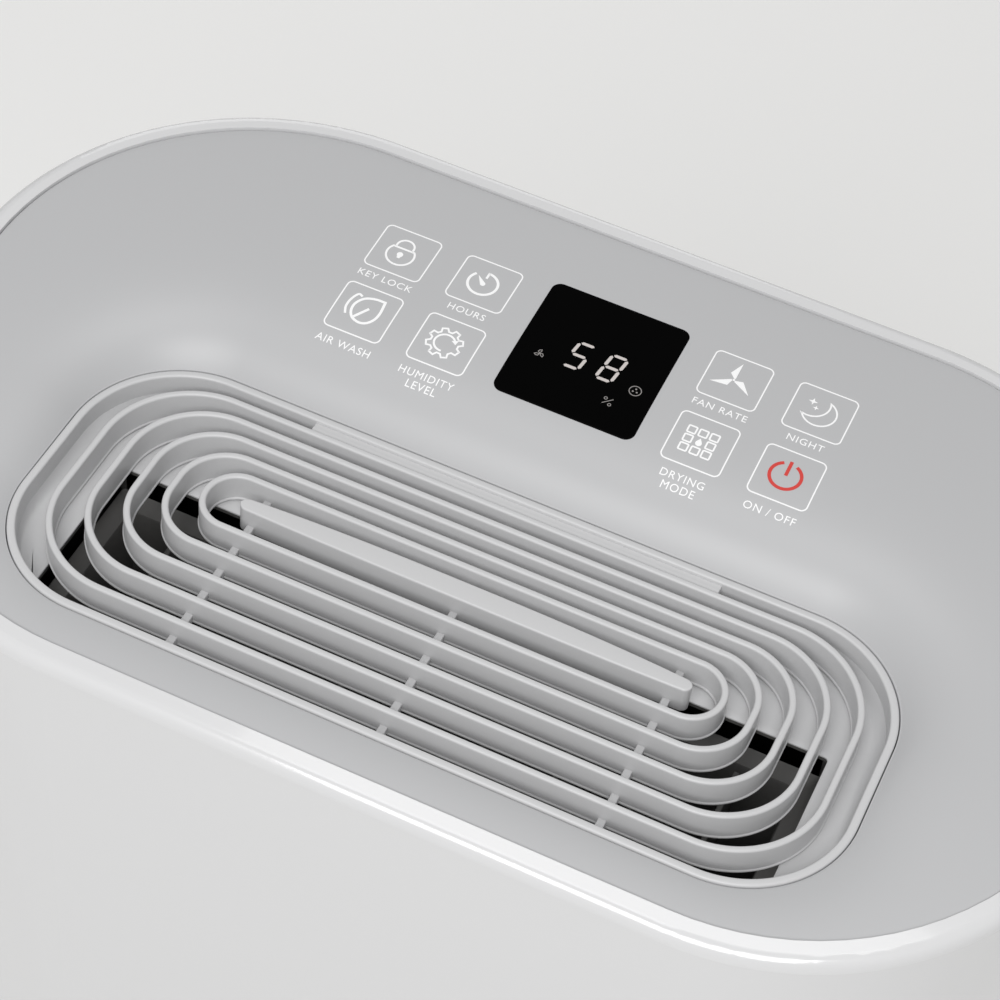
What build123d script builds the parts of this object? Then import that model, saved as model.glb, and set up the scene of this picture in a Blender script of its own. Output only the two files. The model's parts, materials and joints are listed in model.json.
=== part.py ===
from build123d import *
import math
import os

# A free-standing compressor dehumidifier for a room.
# X is the width, -Y is the front, +Z is up, and Z = 0 is the floor under the castors.

# cabinet
body_width = 358.0
body_depth = 212.0
body_corner = 92.0
wall = 2.6
rim_flat = 3.1            # level part of the rim round the top panel
rim_round = 4.0           # rounded outer edge of the rim
rim_proud = 0.8           # rim above the panel
floor_gap = 30.0          # underside of the base
split_y = 52.0            # front shell meets rear shell here

# top panel and its sunken outlet
fin_top = 490.0           # height of the outlet fins, and of the panel's front edge
rear_rise = 16.2          # the panel's rear edge above its front edge
dish_reach = 9.0          # how fast the panel drops to the outlet
panel_thick = 2.6
panel_gap = 0.25

# outlet grille
grille_half = 122.0
grille_front = -86.0
grille_rear = 6.9
grille_corner = 33.0
grille_x = -1.3           # middle of the outlet, a little left of the cabinet's
frame_wide = 2.4
ring_count = 5
ring_first = 9.1          # frame edge to the first ring, at the sides
ring_side = 8.8
ring_front = 8.62
ring_rear = 5.8
ring_radii = (27.8, 23.6, 19.4, 15.2, 10.3)
fin_thick = 1.9
fin_deep = 10.0
bar_x = -0.5
bar_half = 67.0
bar_wide = 5.8
bar_shift = 1.0           # the bar sits a little behind the innermost ring's middle
rib_wide = 2.3
rib_drop = 6.3            # top of a rib below the fins
strip_half = 62.0         # flat strip behind the outer ring
rib_columns = (-62.1, 0.0, 62.1)

# outlet duct
duct_floor = fin_top - 13.0
duct_mouth = (-106.5, 106.0, -82.0, -29.4)    # low x, high x, low y, high y

# display and touch area
window_half = 21.6
window_front = 29.2
window_rear = 74.3
window_corner = 3.0
board_top = fin_top + 5.0
key_columns = (39.2, 65.1)
key_rows = (38.0, 63.2)

# water tank and its bay
deck_low = 214.0
deck_thick = 3.0
bay_half = 142.0
bay_rear = 14.0
bay_wall = 2.0
tank_half = 138.0
tank_rear = 10.0
tank_low = 46.5
tank_high = 206.0
tank_wall = 2.5
pull_half = 46.0
pull_deep = 15.0
pull_low = 178.0
pull_high = 197.0
sight_half = 9.0          # slot for the level window
sight_low = 72.0
sight_high = 164.0
sight_deep = 1.6
rail_x = 96.0             # rails the tank slides on
float_x = 97.0
float_pin_z = 187.0

# fan and coils
fan_x = 45.0
fan_z = 330.0
fan_low_y = -5.0
fan_high_y = 38.0
wheel_radius = 56.0
hub_radius = 12.0
shaft_radius = 3.0
blade_count = 28
casing_radius = 70.0
casing_wall = 2.4
throat_high = 407.0       # top of the fan's upward outlet
motor_radius = 30.0
coil_low_x = -40.0
coil_high_x = 122.0
coil_low_z = 236.0
coil_high_z = 446.0
evaporator_y = (62.0, 80.0)
condenser_y = (43.0, 58.0)
tube_radius = 3.2
tube_rows = 9
pipe_z = 441.4

# compressor
comp_x = -95.0
comp_y = -25.0
comp_radius = 47.0
comp_low = deck_low + deck_thick + 10.0
comp_high = 388.0

# condensate spout over the tank, and the electrics
spout_y = 1.0
spout_radius = 7.0
spout_bore = 5.0
control_x = (58.0, 124.0)
control_y = (-72.0, -70.4)
control_z = (300.0, 398.0)
cover_front = -70.3
cover_rear = -56.0
cover_wall = 2.0
capacitor_radius = 14.0
sensor_box = ((-72.0, -58.0), (78.0, 82.0), (420.0, 440.0))

# rear air intake
intake_half = 82.0
intake_low = 232.0
intake_high = 452.0
intake_thick = 5.0
slat_pitch = 9.0

# hand grips
grip_half = 39.0
grip_low = 388.0
grip_high = 412.0
grip_deep = 22.0

# castors
castor_x = 112.0
castor_y = 62.0
castor_radius = 11.0
castor_wide = 10.0
castor_trail = 6.0
stem_radius = 4.0
axle_radius = 2.0
running = 0.05

# rear fittings
drain_x = -58.0
drain_z = 160.0
cord_x = 62.0
cord_z = 66.0
port_radius = 8.5
port_bore = 6.5
bush_radius = 9.0
lead_radius = 3.6
screw_spots = ((60.0, 90.0), (150.0, 20.0))

panel_width = body_width - 2 * (rim_flat + rim_round)
panel_depth = body_depth - 2 * (rim_flat + rim_round)
panel_corner = body_corner - rim_flat - rim_round
slope_half = body_depth / 2 + 1
slope_radius = ((2 * slope_half) ** 2 + rear_rise ** 2) / (2 * rear_rise)


def plan(inset, low, high, width=body_width, depth=body_depth, corner=body_corner):
    """The cabinet's rounded outline, moved in by inset, from one height to another."""
    shape = RectangleRounded(width - 2 * inset, depth - 2 * inset, corner - inset)
    return Pos(0, 0, low) * extrude(shape, high - low)


def block(x, y, z):
    """A box between (low, high) pairs."""
    size = (x[1] - x[0], y[1] - y[0], z[1] - z[0])
    centre = ((x[0] + x[1]) / 2, (y[0] + y[1]) / 2, (z[0] + z[1]) / 2)
    return Pos(*centre) * Box(*size)


def rounded(x, y, z, corner):
    """A box with rounded upright edges."""
    shape = RectangleRounded(x[1] - x[0], y[1] - y[0], corner)
    return Pos((x[0] + x[1]) / 2, (y[0] + y[1]) / 2, z[0]) * extrude(shape, z[1] - z[0])


def along_y(radius, x, z, low, high):
    """A round bar along Y."""
    return Pos(x, (low + high) / 2, z) * Rot(90, 0, 0) * Cylinder(radius, high - low)


def upright(radius, x, y, low, high):
    """A round bar along Z."""
    return Pos(x, y, (low + high) / 2) * Cylinder(radius, high - low)


def slope_height(y):
    """Height of the rim's arc at y."""
    back = slope_half - y
    return fin_top + rear_rise - slope_radius + math.sqrt(slope_radius ** 2 - back ** 2)


def below_slope(drop):
    """Everything under the arc of the top, moved down by drop.
    The arc is level at the back and steepest at the front."""
    half = slope_half
    low, mid, high = [slope_height(y) - drop for y in (-half, 0, half)]
    edges = [ThreePointArc((-half, low), (0, mid), (half, high)), Line((half, high), (half, 0)),
             Line((half, 0), (-half, 0)), Line((-half, 0), (-half, low))]
    side = Plane.YZ * make_face(edges)
    return extrude(side, body_width, both=True)


def outlet_distance(x, y):
    """Distance outside the rounded outline of the outlet, negative inside it."""
    mid = (grille_front + grille_rear) / 2
    qx = abs(x - grille_x) - grille_half + grille_corner
    qy = abs(y - mid) - (grille_rear - grille_front) / 2 + grille_corner
    return math.hypot(max(qx, 0), max(qy, 0)) + min(max(qx, qy), 0) - grille_corner


def panel_height(x, y):
    """The panel's top: the slope, sinking smoothly to the fins round the outlet."""
    d = outlet_distance(x, y)
    sink = 1 - math.exp(-d / dish_reach) if d > 0 else max(d / dish_reach, -0.6)
    return fin_top - rim_proud + (slope_height(y) - fin_top) * sink


def panel_skin():
    """A smooth slab of the panel's thickness, wider than the panel."""
    step = 5.0
    xs = [-180 + step * i for i in range(73)]
    ys = [-105 + step * i for i in range(43)]
    grid = [[(x, y, panel_height(x, y)) for y in ys] for x in xs]
    face = Face.make_surface_from_array_of_points(grid, tol=0.05)
    return Solid.extrude(face, Vector(0, 0, -panel_thick))


def shell_halves():
    """The white cabinet with its rim, hollow, cut across into a front and a rear shell."""
    outer = plan(0, floor_gap, fin_top + 60) & below_slope(0)
    top = outer.faces().sort_by(Axis.Z)[-1]
    outer = fillet(top.edges(), rim_round)
    core = plan(wall, floor_gap - 1, fin_top + 60) & below_slope(7.0)
    seat = plan(rim_flat + rim_round - panel_gap, fin_top - 60, fin_top + 60)
    seat -= below_slope(rim_proud + panel_thick + 0.1)
    throat = plan(rim_flat + rim_round + 3.5, fin_top - 60, fin_top + 60)
    shell = outer - core - seat - throat
    half = body_depth
    front = shell & block((-half, half), (-half, split_y), (0, 600))
    rear = shell & block((-half, half), (split_y, half), (0, 600))
    front -= block((-tank_half - 0.8, tank_half + 0.8), (-half, 0), (tank_low - 1.2, tank_high + 1.4))
    for side in (-1, 1):
        front -= Pos(side * body_width / 2, 0, (grip_low + grip_high) / 2) * Box(
            2 * grip_deep, 2 * grip_half, grip_high - grip_low)
    rear -= block((-intake_half - 0.4, intake_half + 0.4), (split_y, half),
                  (intake_low - 0.4, intake_high + 0.4))
    rear -= along_y(11.3, drain_x, drain_z, split_y, half)
    rear -= along_y(bush_radius + 0.1, cord_x, cord_z, split_y, half)
    return front, rear


def top_panel(skin):
    panel = skin & plan(0, fin_top - 20, fin_top + 40, panel_width, panel_depth, panel_corner)
    panel -= grille_plan(-panel_gap, fin_top - 30, fin_top + 30)
    panel -= window_plan(0.1)
    return panel


def grille_plan(inset, low, high):
    half = grille_half - inset
    return rounded((grille_x - half, grille_x + half), (grille_front + inset, grille_rear - inset),
                   (low, high), grille_corner - inset)


def window_plan(grow):
    return rounded((-window_half - grow, window_half + grow), (window_front - grow, window_rear + grow),
                   (fin_top - 10, fin_top + 30), window_corner + grow)


def ring_block(k, inset, low, high):
    """Solid rounded block inside ring k of the outlet, k counted from 1 at the outside."""
    half = grille_half - ring_first - ring_side * (k - 1) - inset
    front = grille_front + ring_front * k + inset
    rear = grille_rear - ring_rear * k - inset
    return rounded((grille_x - half, grille_x + half), (front, rear), (low, high), ring_radii[k - 1] - inset)


def outlet_grille():
    """Frame, ring fins one inside another, the centre bar, and the cross ribs that join them."""
    low = fin_top - fin_deep
    body = grille_plan(0, low, fin_top) - grille_plan(frame_wide, low, fin_top)
    for k in range(1, ring_count + 1):
        body += ring_block(k, 0, low, fin_top) - ring_block(k, fin_thick, low, fin_top)
    bar_y = bar_shift + (grille_front + ring_front * ring_count + grille_rear - ring_rear * ring_count) / 2
    bar = rounded((bar_x - bar_half, bar_x + bar_half), (bar_y - bar_wide / 2, bar_y + bar_wide / 2),
                  (low, fin_top), bar_wide / 2 - 0.1)
    body += bar
    inside = grille_plan(1.0, low, fin_top)
    for column in rib_columns:
        x = grille_x + column
        rib = block((x - rib_wide / 2, x + rib_wide / 2), (grille_front, grille_rear),
                    (low + 0.4, fin_top - rib_drop))
        body += rib & inside
    strip = block((grille_x - strip_half, grille_x + strip_half),
                  (grille_rear - ring_rear - 0.5, grille_rear - 1), (low + 4, fin_top - 0.8))
    body += strip
    return body


def outlet_duct():
    """Tray under the grille with a mouth, and a chute down to the fan casing."""
    low, high = duct_floor - 2.0, fin_top - fin_deep - 0.2
    tray = grille_plan(-3.0, low, high) - grille_plan(-0.8, duct_floor, high)
    x0, x1, y0, y1 = duct_mouth
    tray -= block((x0, x1), (y0, y1), (low - 1, duct_floor + 1)) & grille_plan(1.0, low - 1, duct_floor + 1)
    chute = []
    for grow in (2.0, 0.0):
        top = Plane.XY.offset(low + 0.01) * Pos((x0 + x1) / 2, (y0 + y1) / 2) * Rectangle(
            x1 - x0 + 2 * grow, y1 - y0 + 2 * grow)
        foot = Plane.XY.offset(410.0) * Pos(fan_x + 34, (fan_low_y + fan_high_y) / 2) * Rectangle(
            72 + 2 * grow, fan_high_y - fan_low_y - 5 + 2 * grow)
        chute.append(loft([foot.face(), top.face()]))
    return tray + (chute[0] - chute[1])


def fan_casing():
    """Snail casing with a round inlet at the back, an upward outlet and a motor hole in front."""
    solids = []
    for grow in (casing_wall, 0.0):
        low, high = fan_low_y - grow + casing_wall, fan_high_y + grow - casing_wall
        drum = along_y(casing_radius + grow, fan_x, fan_z, low, high)
        throat = block((fan_x - 2 - grow, fan_x + casing_radius + grow), (low, high),
                       (fan_z, throat_high + 2 * (casing_wall - grow)))
        solids.append(drum + throat)
    casing = solids[0] - solids[1]
    casing -= along_y(48, fan_x, fan_z, fan_high_y - 4, fan_high_y + 4)
    casing -= along_y(8, fan_x, fan_z, fan_low_y - 4, fan_low_y + 4)
    return casing


def fan_wheel():
    """Squirrel-cage wheel: hub disc, blades and an end ring, bored for the motor shaft."""
    back = fan_low_y + 3.5
    front = fan_high_y - 4.0
    disc = along_y(wheel_radius, fan_x, fan_z, back, back + 2.0)
    disc += along_y(hub_radius, fan_x, fan_z, back, back + 18.0)
    ring = along_y(wheel_radius, fan_x, fan_z, front - 2.0, front)
    ring -= along_y(wheel_radius - 9.0, fan_x, fan_z, front - 3.0, front + 1.0)
    wheel = disc + ring
    for i in range(blade_count):
        blade = Rot(0, 360 / blade_count * i, 0) * Pos(wheel_radius - 5.0, 0, 0) * Rot(0, 28, 0) * Box(
            8.0, front - back - 1.0, 1.2)
        wheel += Pos(fan_x, (front + back) / 2, fan_z) * blade
    return wheel - along_y(shaft_radius + running, fan_x, fan_z, back - 1, back + 30)


def fan_motor():
    low = fan_low_y - 46.0
    motor = along_y(motor_radius, fan_x, fan_z, low, fan_low_y - 4.0)
    motor += along_y(motor_radius + 6, fan_x, fan_z, fan_low_y - 10.0, fan_low_y - 7.0)
    motor += along_y(11, fan_x, fan_z, low - 3.0, low)
    return motor + along_y(shaft_radius, fan_x, fan_z, fan_low_y - 5.0, fan_low_y + 20.0)


def compressor():
    """Welded steel can with domed ends, three feet and a discharge stub."""
    can = upright(comp_radius, comp_x, comp_y, comp_low, comp_high)
    ends = can.faces().filter_by(Plane.XY)
    can = fillet(ends.edges(), 22.0)
    for i in range(3):
        turn = Pos(comp_x, comp_y, comp_low + 3) * Rot(0, 0, 90 + 120 * i)
        foot = turn * Pos(comp_radius - 6, 0, 0) * Box(34, 22, 3.0)
        can += foot - turn * Pos(comp_radius + 5, 0, 0) * Cylinder(4.2, 8)
    can += upright(4.0, comp_x, comp_y + 20, comp_high - 6, comp_high + 8)
    return can


def compressor_feet():
    """Three rubber mounts between the compressor's feet and the deck."""
    group = []
    for i in range(3):
        turn = Pos(comp_x, comp_y, 0) * Rot(0, 0, 90 + 120 * i) * Pos(comp_radius + 5, 0, 0)
        base = deck_low + deck_thick
        rubber = turn * Pos(0, 0, base + 5.75) * Cylinder(9, 11.5)
        rubber -= turn * Pos(0, 0, base + 5.75) * Cylinder(3, 20)
        group.append(rubber)
    return Compound(children=group)


def terminal_cover():
    return rounded((comp_x - 18, comp_x + 14), (comp_y - 20, comp_y + 10),
                   (comp_high + 0.1, comp_high + 16), 6)


def coil(low_y, high_y):
    """A block of fins with return bends of the tube at both ends."""
    body = block((coil_low_x, coil_high_x), (low_y, high_y), (coil_low_z, coil_high_z))
    mid = (low_y + high_y) / 2
    pitch = (coil_high_z - coil_low_z) / tube_rows
    for i in range(tube_rows - 1):
        x = coil_low_x if i % 2 else coil_high_x
        z = coil_low_z + pitch * (i + 1)
        bend = Pos(x, mid, z) * Rot(90, 0, 0) * Torus(pitch / 2, tube_radius)
        body += bend & block((x - 20, x) if i % 2 else (x, x + 20), (low_y - 5, high_y + 5), (z - 20, z + 20))
    return body


def pipe(points, radius, bends):
    path = FilletPolyline(*points, radius=bends)
    profile = Plane(path @ 0, z_dir=path % 0) * Circle(radius)
    return sweep(profile, path)


def discharge_pipe():
    """Compressor top to the condenser."""
    top = comp_high + 8
    start = (comp_x, comp_y + 20, top)
    return pipe([start, (comp_x, comp_y + 20, pipe_z), (-62, 30, pipe_z), (-62, 50.5, pipe_z),
                 (coil_low_x, 50.5, pipe_z)],
                tube_radius, [12, 10, 6])


def suction_pipe():
    """Evaporator back to the rear side of the compressor."""
    start = (comp_x, comp_y + comp_radius - 0.3, 300)
    return pipe([start, (comp_x, 50, 300), (comp_x, 50, pipe_z), (-60, 71, pipe_z),
                 (coil_low_x, 71, pipe_z)],
                4.0, [10, 10, 8])


def drip_tray():
    """Open tray under the coils with a forward trough and a spout over the tank."""
    low = deck_low + deck_thick
    tray = rounded((coil_low_x - 14, coil_high_x + 14), (40, 86), (low, low + 16), 4)
    tray += block((-11, 11), (-9, 42), (low, low + 16))
    tray -= rounded((coil_low_x - 12, coil_high_x + 12), (42, 84), (low + 2, low + 20), 3)
    tray -= block((-9, 9), (-7, 44), (low + 2, low + 20))
    tray += upright(spout_radius, 0, spout_y, deck_low - 4, low + 1)
    return tray - upright(spout_bore, 0, spout_y, deck_low - 6, low + 6)


def mid_deck():
    """Shelf between the tank bay and the machine space."""
    deck = plan(wall + 0.2, deck_low, deck_low + deck_thick)
    return deck - upright(spout_radius + 0.3, 0, spout_y, deck_low - 1, deck_low + 10)


def base_tray():
    """Floor of the cabinet with rails for the tank and sockets for the castor stems."""
    base = plan(wall + 0.2, floor_gap, floor_gap + 4)
    for side in (-1, 1):
        base += block((side * rail_x - 5, side * rail_x + 5), (-84, 12), (floor_gap + 3, tank_low - 0.3))
        for end in (-1, 1):
            base += upright(9, side * castor_x, end * castor_y, floor_gap + 3, floor_gap + 15)
    for side in (-1, 1):
        for end in (-1, 1):
            base -= upright(stem_radius + running, side * castor_x, end * castor_y,
                            floor_gap - 1, floor_gap + 12)
    for x, y in screw_places():
        base -= upright(1.6, x, y, floor_gap - 1, floor_gap + 8)
    return base


def screw_places():
    return [(side * x, end * y) for side in (-1, 1) for end in (-1, 1) for x, y in screw_spots]


def base_screws():
    """Screws up through the base into the shells."""
    group = []
    for x, y in screw_places():
        screw = upright(3.4, x, y, floor_gap - 2.0, floor_gap)
        screw += upright(1.5, x, y, floor_gap - 1, floor_gap + 10)
        group.append(screw - Pos(x, y, floor_gap - 2.0) * Box(4.6, 1.0, 1.4))
    return Compound(children=group)


def tank_bay():
    """Side and back walls round the tank, between base and deck."""
    low, high = floor_gap + 4, deck_low
    bay = block((-bay_half, bay_half), (-58, bay_rear), (low, high))
    bay -= block((-bay_half + bay_wall, bay_half - bay_wall), (-60, bay_rear - bay_wall), (low - 1, high + 1))
    for side in (-1, 1):
        for end in (-1, 1):
            bay -= upright(9.4, side * castor_x, end * castor_y, low, floor_gap + 16)
    return bay


def water_tank():
    """Open tank whose front is part of the cabinet's face, with a finger pull and a sight slot."""
    shape = plan(0, tank_low, tank_high) & block((-tank_half, tank_half), (-body_depth, tank_rear), (0, 600))
    inside = plan(tank_wall, tank_low + tank_wall, tank_high + 5) & block(
        (-tank_half + tank_wall, tank_half - tank_wall), (-body_depth, tank_rear - tank_wall), (0, 600))
    tank = shape - inside
    face = -body_depth / 2
    pull = block((-pull_half, pull_half), (face - 1, face + pull_deep), (pull_low, pull_high))
    cup = block((-pull_half - 2, pull_half + 2), (face + 1, face + pull_deep + 2),
                (pull_low - 2, pull_high + 2))
    tank = tank + cup - pull
    return tank - block((-sight_half, sight_half), (face - 1, face + sight_deep), (sight_low, sight_high))


def level_window():
    """Clear strip let into the tank's front."""
    face = -body_depth / 2
    return block((0.1 - sight_half, sight_half - 0.1), (face + 0.1, face + sight_deep),
                 (sight_low + 0.1, sight_high - 0.1))


def tank_lid():
    """Lid on the tank with a catching hole under the spout."""
    lid = plan(tank_wall + 0.3, tank_high - 5, tank_high - 2) & block(
        (-tank_half + tank_wall + 0.3, tank_half - tank_wall - 0.3),
        (-body_depth / 2 + pull_deep + 3, tank_rear - tank_wall - 0.3), (0, 600))
    return lid - upright(12, 0, -2, tank_high - 8, tank_high)


def float_block():
    """Float on an arm that turns on a pin at the tank's back wall."""
    arm = block((float_x - 3, float_x + 3), (-16, 3.4), (float_pin_z - 3, float_pin_z + 3))
    body = rounded((float_x - 19, float_x + 19), (-42, -14), (float_pin_z - 15, float_pin_z + 3), 5)
    hub = Pos(float_x, 0, float_pin_z) * Rot(0, 90, 0) * Cylinder(4.0, 10)
    return arm + body + hub


def tank_switch():
    """Small switch that feels the tank from behind."""
    body = block((60, 80), (bay_rear, bay_rear + 10), (150, 166))
    return body


def intake_grille():
    """Rear louvre: a frame with level slats and two uprights."""
    face = body_depth / 2
    low, high = face - intake_thick, face
    x = (-intake_half, intake_half)
    z = (intake_low, intake_high)
    frame = block(x, (low, high), z)
    frame -= block((x[0] + 6, x[1] - 6), (low - 1, high + 1), (z[0] + 6, z[1] - 6))
    count = int((z[1] - z[0] - 12) / slat_pitch)
    for i in range(count):
        height = z[0] + 8.5 + slat_pitch * i
        frame += Pos(0, (low + high) / 2, height) * Rot(-25, 0, 0) * Box(x[1] - x[0] - 8, 5.0, 2.0)
    for side in (-1, 1):
        frame += block((side * 27 - 1.5, side * 27 + 1.5), (low, high - 1), (z[0] + 3, z[1] - 3))
    return frame & block(x, (low - 1, high), z)


def filter_frame():
    y = (body_depth / 2 - intake_thick - 5.0, body_depth / 2 - intake_thick - 0.2)
    x = (-intake_half + 1, intake_half - 1)
    z = (intake_low + 1, intake_high - 1)
    frame = block(x, y, z) - block((x[0] + 6, x[1] - 6), (y[0] - 1, y[1] + 1), (z[0] + 6, z[1] - 6))
    for side in (-1, 1):
        frame += block((side * 27 - 1.5, side * 27 + 1.5), y, (z[0] + 3, z[1] - 3))
    for i in range(1, 4):
        height = z[0] + (z[1] - z[0]) * i / 4
        frame += block((x[0] + 3, x[1] - 3), y, (height - 1.5, height + 1.5))
    return frame


def filter_mesh():
    y = body_depth / 2 - intake_thick - 5.0
    x = (-intake_half + 2, intake_half - 2)
    return block(x, (y - 0.8, y), (intake_low + 2, intake_high - 2))


def grip_cup(side):
    """Finger cup behind each side opening."""
    x = (body_width / 2 - wall - grip_deep, body_width / 2)
    y = (-grip_half - 2, grip_half + 2)
    z = (grip_low - 2, grip_high + 2)
    cup = block(x, y, z) & plan(wall + 0.1, 0, 600)
    cup -= block((x[0] + 2, x[1] + 5), (y[0] + 2, y[1] - 2), (z[0] + 2, z[1] - 2))
    return cup if side > 0 else mirror(cup, about=Plane.YZ)


def drain_port():
    """Hose outlet: a flanged tube set back in the rear wall."""
    face = body_depth / 2
    port = along_y(11, drain_x, drain_z, face - 12, face - 9.5)
    port += along_y(port_radius, drain_x, drain_z, face - 30, face - 3)
    return port - along_y(port_bore, drain_x, drain_z, face - 40, face + 1)


def drain_cap():
    face = body_depth / 2
    cap = along_y(9.8, drain_x, drain_z, face - 2.8, face - 0.4)
    cap += along_y(port_bore - running, drain_x, drain_z, face - 14, face - 2.8)
    cap -= block((drain_x - 1.2, drain_x + 1.2), (face - 1.6, face), (drain_z - 7, drain_z + 7))
    return cap


def cord_inlet():
    """Rubber bush for a mains lead."""
    face = body_depth / 2
    bush = along_y(bush_radius, cord_x, cord_z, face - 8, face - 0.5)
    bush += along_y(11, cord_x, cord_z, face - wall - 3, face - wall - 0.3)
    return bush - along_y(lead_radius, cord_x, cord_z, face - 12, face + 2)


def display_window(skin):
    return skin & window_plan(0)


def touch_board():
    return block((-80, 80), (22, 76), (board_top - 1.6, board_top))


def display_module():
    return rounded((-19, 19), (31, 71), (board_top, board_top + 4.2), 1.5)


def key_places():
    return [(side * x, y) for side in (-1, 1) for x in key_columns for y in key_rows]


def touch_springs():
    """A sensing spring under each touch key."""
    group = [upright(4.5, x, y, board_top, panel_height(x, y) - panel_thick - 0.7)
             for x, y in key_places()]
    return Compound(children=group)


def control_board():
    return block(control_x, control_y, control_z)


def board_cover():
    """Box over the parts side of the control board."""
    x = (control_x[0] - cover_wall, control_x[1] + cover_wall)
    z = (control_z[0] - cover_wall, control_z[1] + cover_wall)
    box = block(x, (cover_front, cover_rear), z)
    return box - block(control_x, (cover_front - 1, cover_rear - cover_wall), control_z)


def run_capacitor():
    can = upright(capacitor_radius, -20, -70, deck_low + deck_thick, 282)
    return fillet(can.edges().filter_by(GeomType.CIRCLE), 2.0)


def humidity_sensor():
    return rounded(*sensor_box, 1.0)


def castor_parts(x, y):
    """Fork with its stem, wheel and axle. The wheel trails behind the stem."""
    top = floor_gap - 0.6
    wheel_y = y + castor_trail
    half = castor_wide / 2 + 0.6
    fork = rounded((x - half - 2.4, x + half + 2.4), (y - 9, y + castor_trail + 8), (top - 4, top), 4)
    for side in (-1, 1):
        cheek_x = sorted((x + side * half, x + side * (half + 2.4)))
        fork += block(cheek_x, (y - 2, wheel_y + 5), (castor_radius - 4, top - 3))
    fork += upright(stem_radius, x, y, top - 1, floor_gap + 11)
    bar = Pos(x, wheel_y, castor_radius) * Rot(0, 90, 0)
    axle = bar * Cylinder(axle_radius, 2 * half + 4.4)
    fork -= bar * Cylinder(axle_radius, 2 * half + 10)
    fork -= bar * Cylinder(castor_radius + 1.4, 2 * half)
    wheel = bar * Cylinder(castor_radius, castor_wide)
    wheel = fillet(wheel.edges().filter_by(GeomType.CIRCLE), 1.5)
    wheel -= bar * Cylinder(axle_radius + running, castor_wide + 2)
    return fork, wheel, axle


def build_parts():
    skin = panel_skin()
    front, rear = shell_halves()
    parts = {
        "base_tray": base_tray(),
        "front_shell": front,
        "rear_shell": rear,
        "top_panel": top_panel(skin),
        "outlet_grille": outlet_grille(),
        "outlet_duct": outlet_duct(),
        "display_window": display_window(skin),
        "display_module": display_module(),
        "touch_board": touch_board(),
        "touch_springs": touch_springs(),
        "fan_casing": fan_casing(),
        "fan_wheel": fan_wheel(),
        "fan_motor": fan_motor(),
        "compressor": compressor(),
        "compressor_feet": compressor_feet(),
        "terminal_cover": terminal_cover(),
        "evaporator": coil(*evaporator_y),
        "condenser": coil(*condenser_y),
        "discharge_pipe": discharge_pipe(),
        "suction_pipe": suction_pipe(),
        "drip_tray": drip_tray(),
        "mid_deck": mid_deck(),
        "tank_bay": tank_bay(),
        "water_tank": water_tank(),
        "tank_lid": tank_lid(),
        "level_window": level_window(),
        "float_block": float_block(),
        "tank_switch": tank_switch(),
        "intake_grille": intake_grille(),
        "filter_frame": filter_frame(),
        "filter_mesh": filter_mesh(),
        "grip_cup_left": grip_cup(-1),
        "grip_cup_right": grip_cup(1),
        "drain_port": drain_port(),
        "drain_cap": drain_cap(),
        "cord_inlet": cord_inlet(),
        "control_board": control_board(),
        "board_cover": board_cover(),
        "run_capacitor": run_capacitor(),
        "humidity_sensor": humidity_sensor(),
        "base_screws": base_screws(),
    }
    corners = {"front_left": (-1, -1), "front_right": (1, -1), "rear_left": (-1, 1), "rear_right": (1, 1)}
    for place, (side, end) in corners.items():
        fork, wheel, axle = castor_parts(side * castor_x, end * castor_y)
        parts["castor_fork_" + place] = fork
        parts["castor_wheel_" + place] = wheel
        parts["castor_axle_" + place] = axle
    return parts


os.makedirs("parts", exist_ok=True)
for name, solid in build_parts().items():
    export_step(solid, f"parts/{name}.step")
    print(name, round(solid.volume))
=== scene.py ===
import json
import math

import bmesh
import bpy
import numpy as np
from mathutils import Matrix, Vector


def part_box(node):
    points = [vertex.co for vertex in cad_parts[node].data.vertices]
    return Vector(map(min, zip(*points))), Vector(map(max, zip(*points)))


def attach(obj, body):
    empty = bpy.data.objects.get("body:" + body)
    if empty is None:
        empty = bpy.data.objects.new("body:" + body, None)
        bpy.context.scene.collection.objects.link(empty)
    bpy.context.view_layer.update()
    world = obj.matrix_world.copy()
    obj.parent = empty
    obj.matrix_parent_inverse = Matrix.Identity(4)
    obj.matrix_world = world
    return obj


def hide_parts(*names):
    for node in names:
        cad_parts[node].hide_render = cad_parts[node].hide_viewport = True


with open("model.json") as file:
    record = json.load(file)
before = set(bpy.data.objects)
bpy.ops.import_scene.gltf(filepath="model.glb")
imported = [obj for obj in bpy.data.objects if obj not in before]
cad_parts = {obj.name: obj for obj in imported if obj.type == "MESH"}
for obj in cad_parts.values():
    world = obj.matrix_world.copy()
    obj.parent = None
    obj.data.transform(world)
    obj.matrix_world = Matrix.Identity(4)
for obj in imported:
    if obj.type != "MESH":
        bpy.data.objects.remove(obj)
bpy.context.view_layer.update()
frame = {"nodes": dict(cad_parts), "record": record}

nodes = frame["nodes"]
mm = 0.001
print("frame loaded", len(nodes), "nodes")


def boxOf(node):
    low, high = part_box(node)
    return np.array(low) / mm, np.array(high) / mm


panelLow, panelHigh = boxOf("top_panel")
grilleLow, grilleHigh = boxOf("outlet_grille")
windowLow, windowHigh = boxOf("display_window")
bodyHigh = boxOf("rear_shell")[1]
finTop = float(grilleHigh[2])

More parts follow.
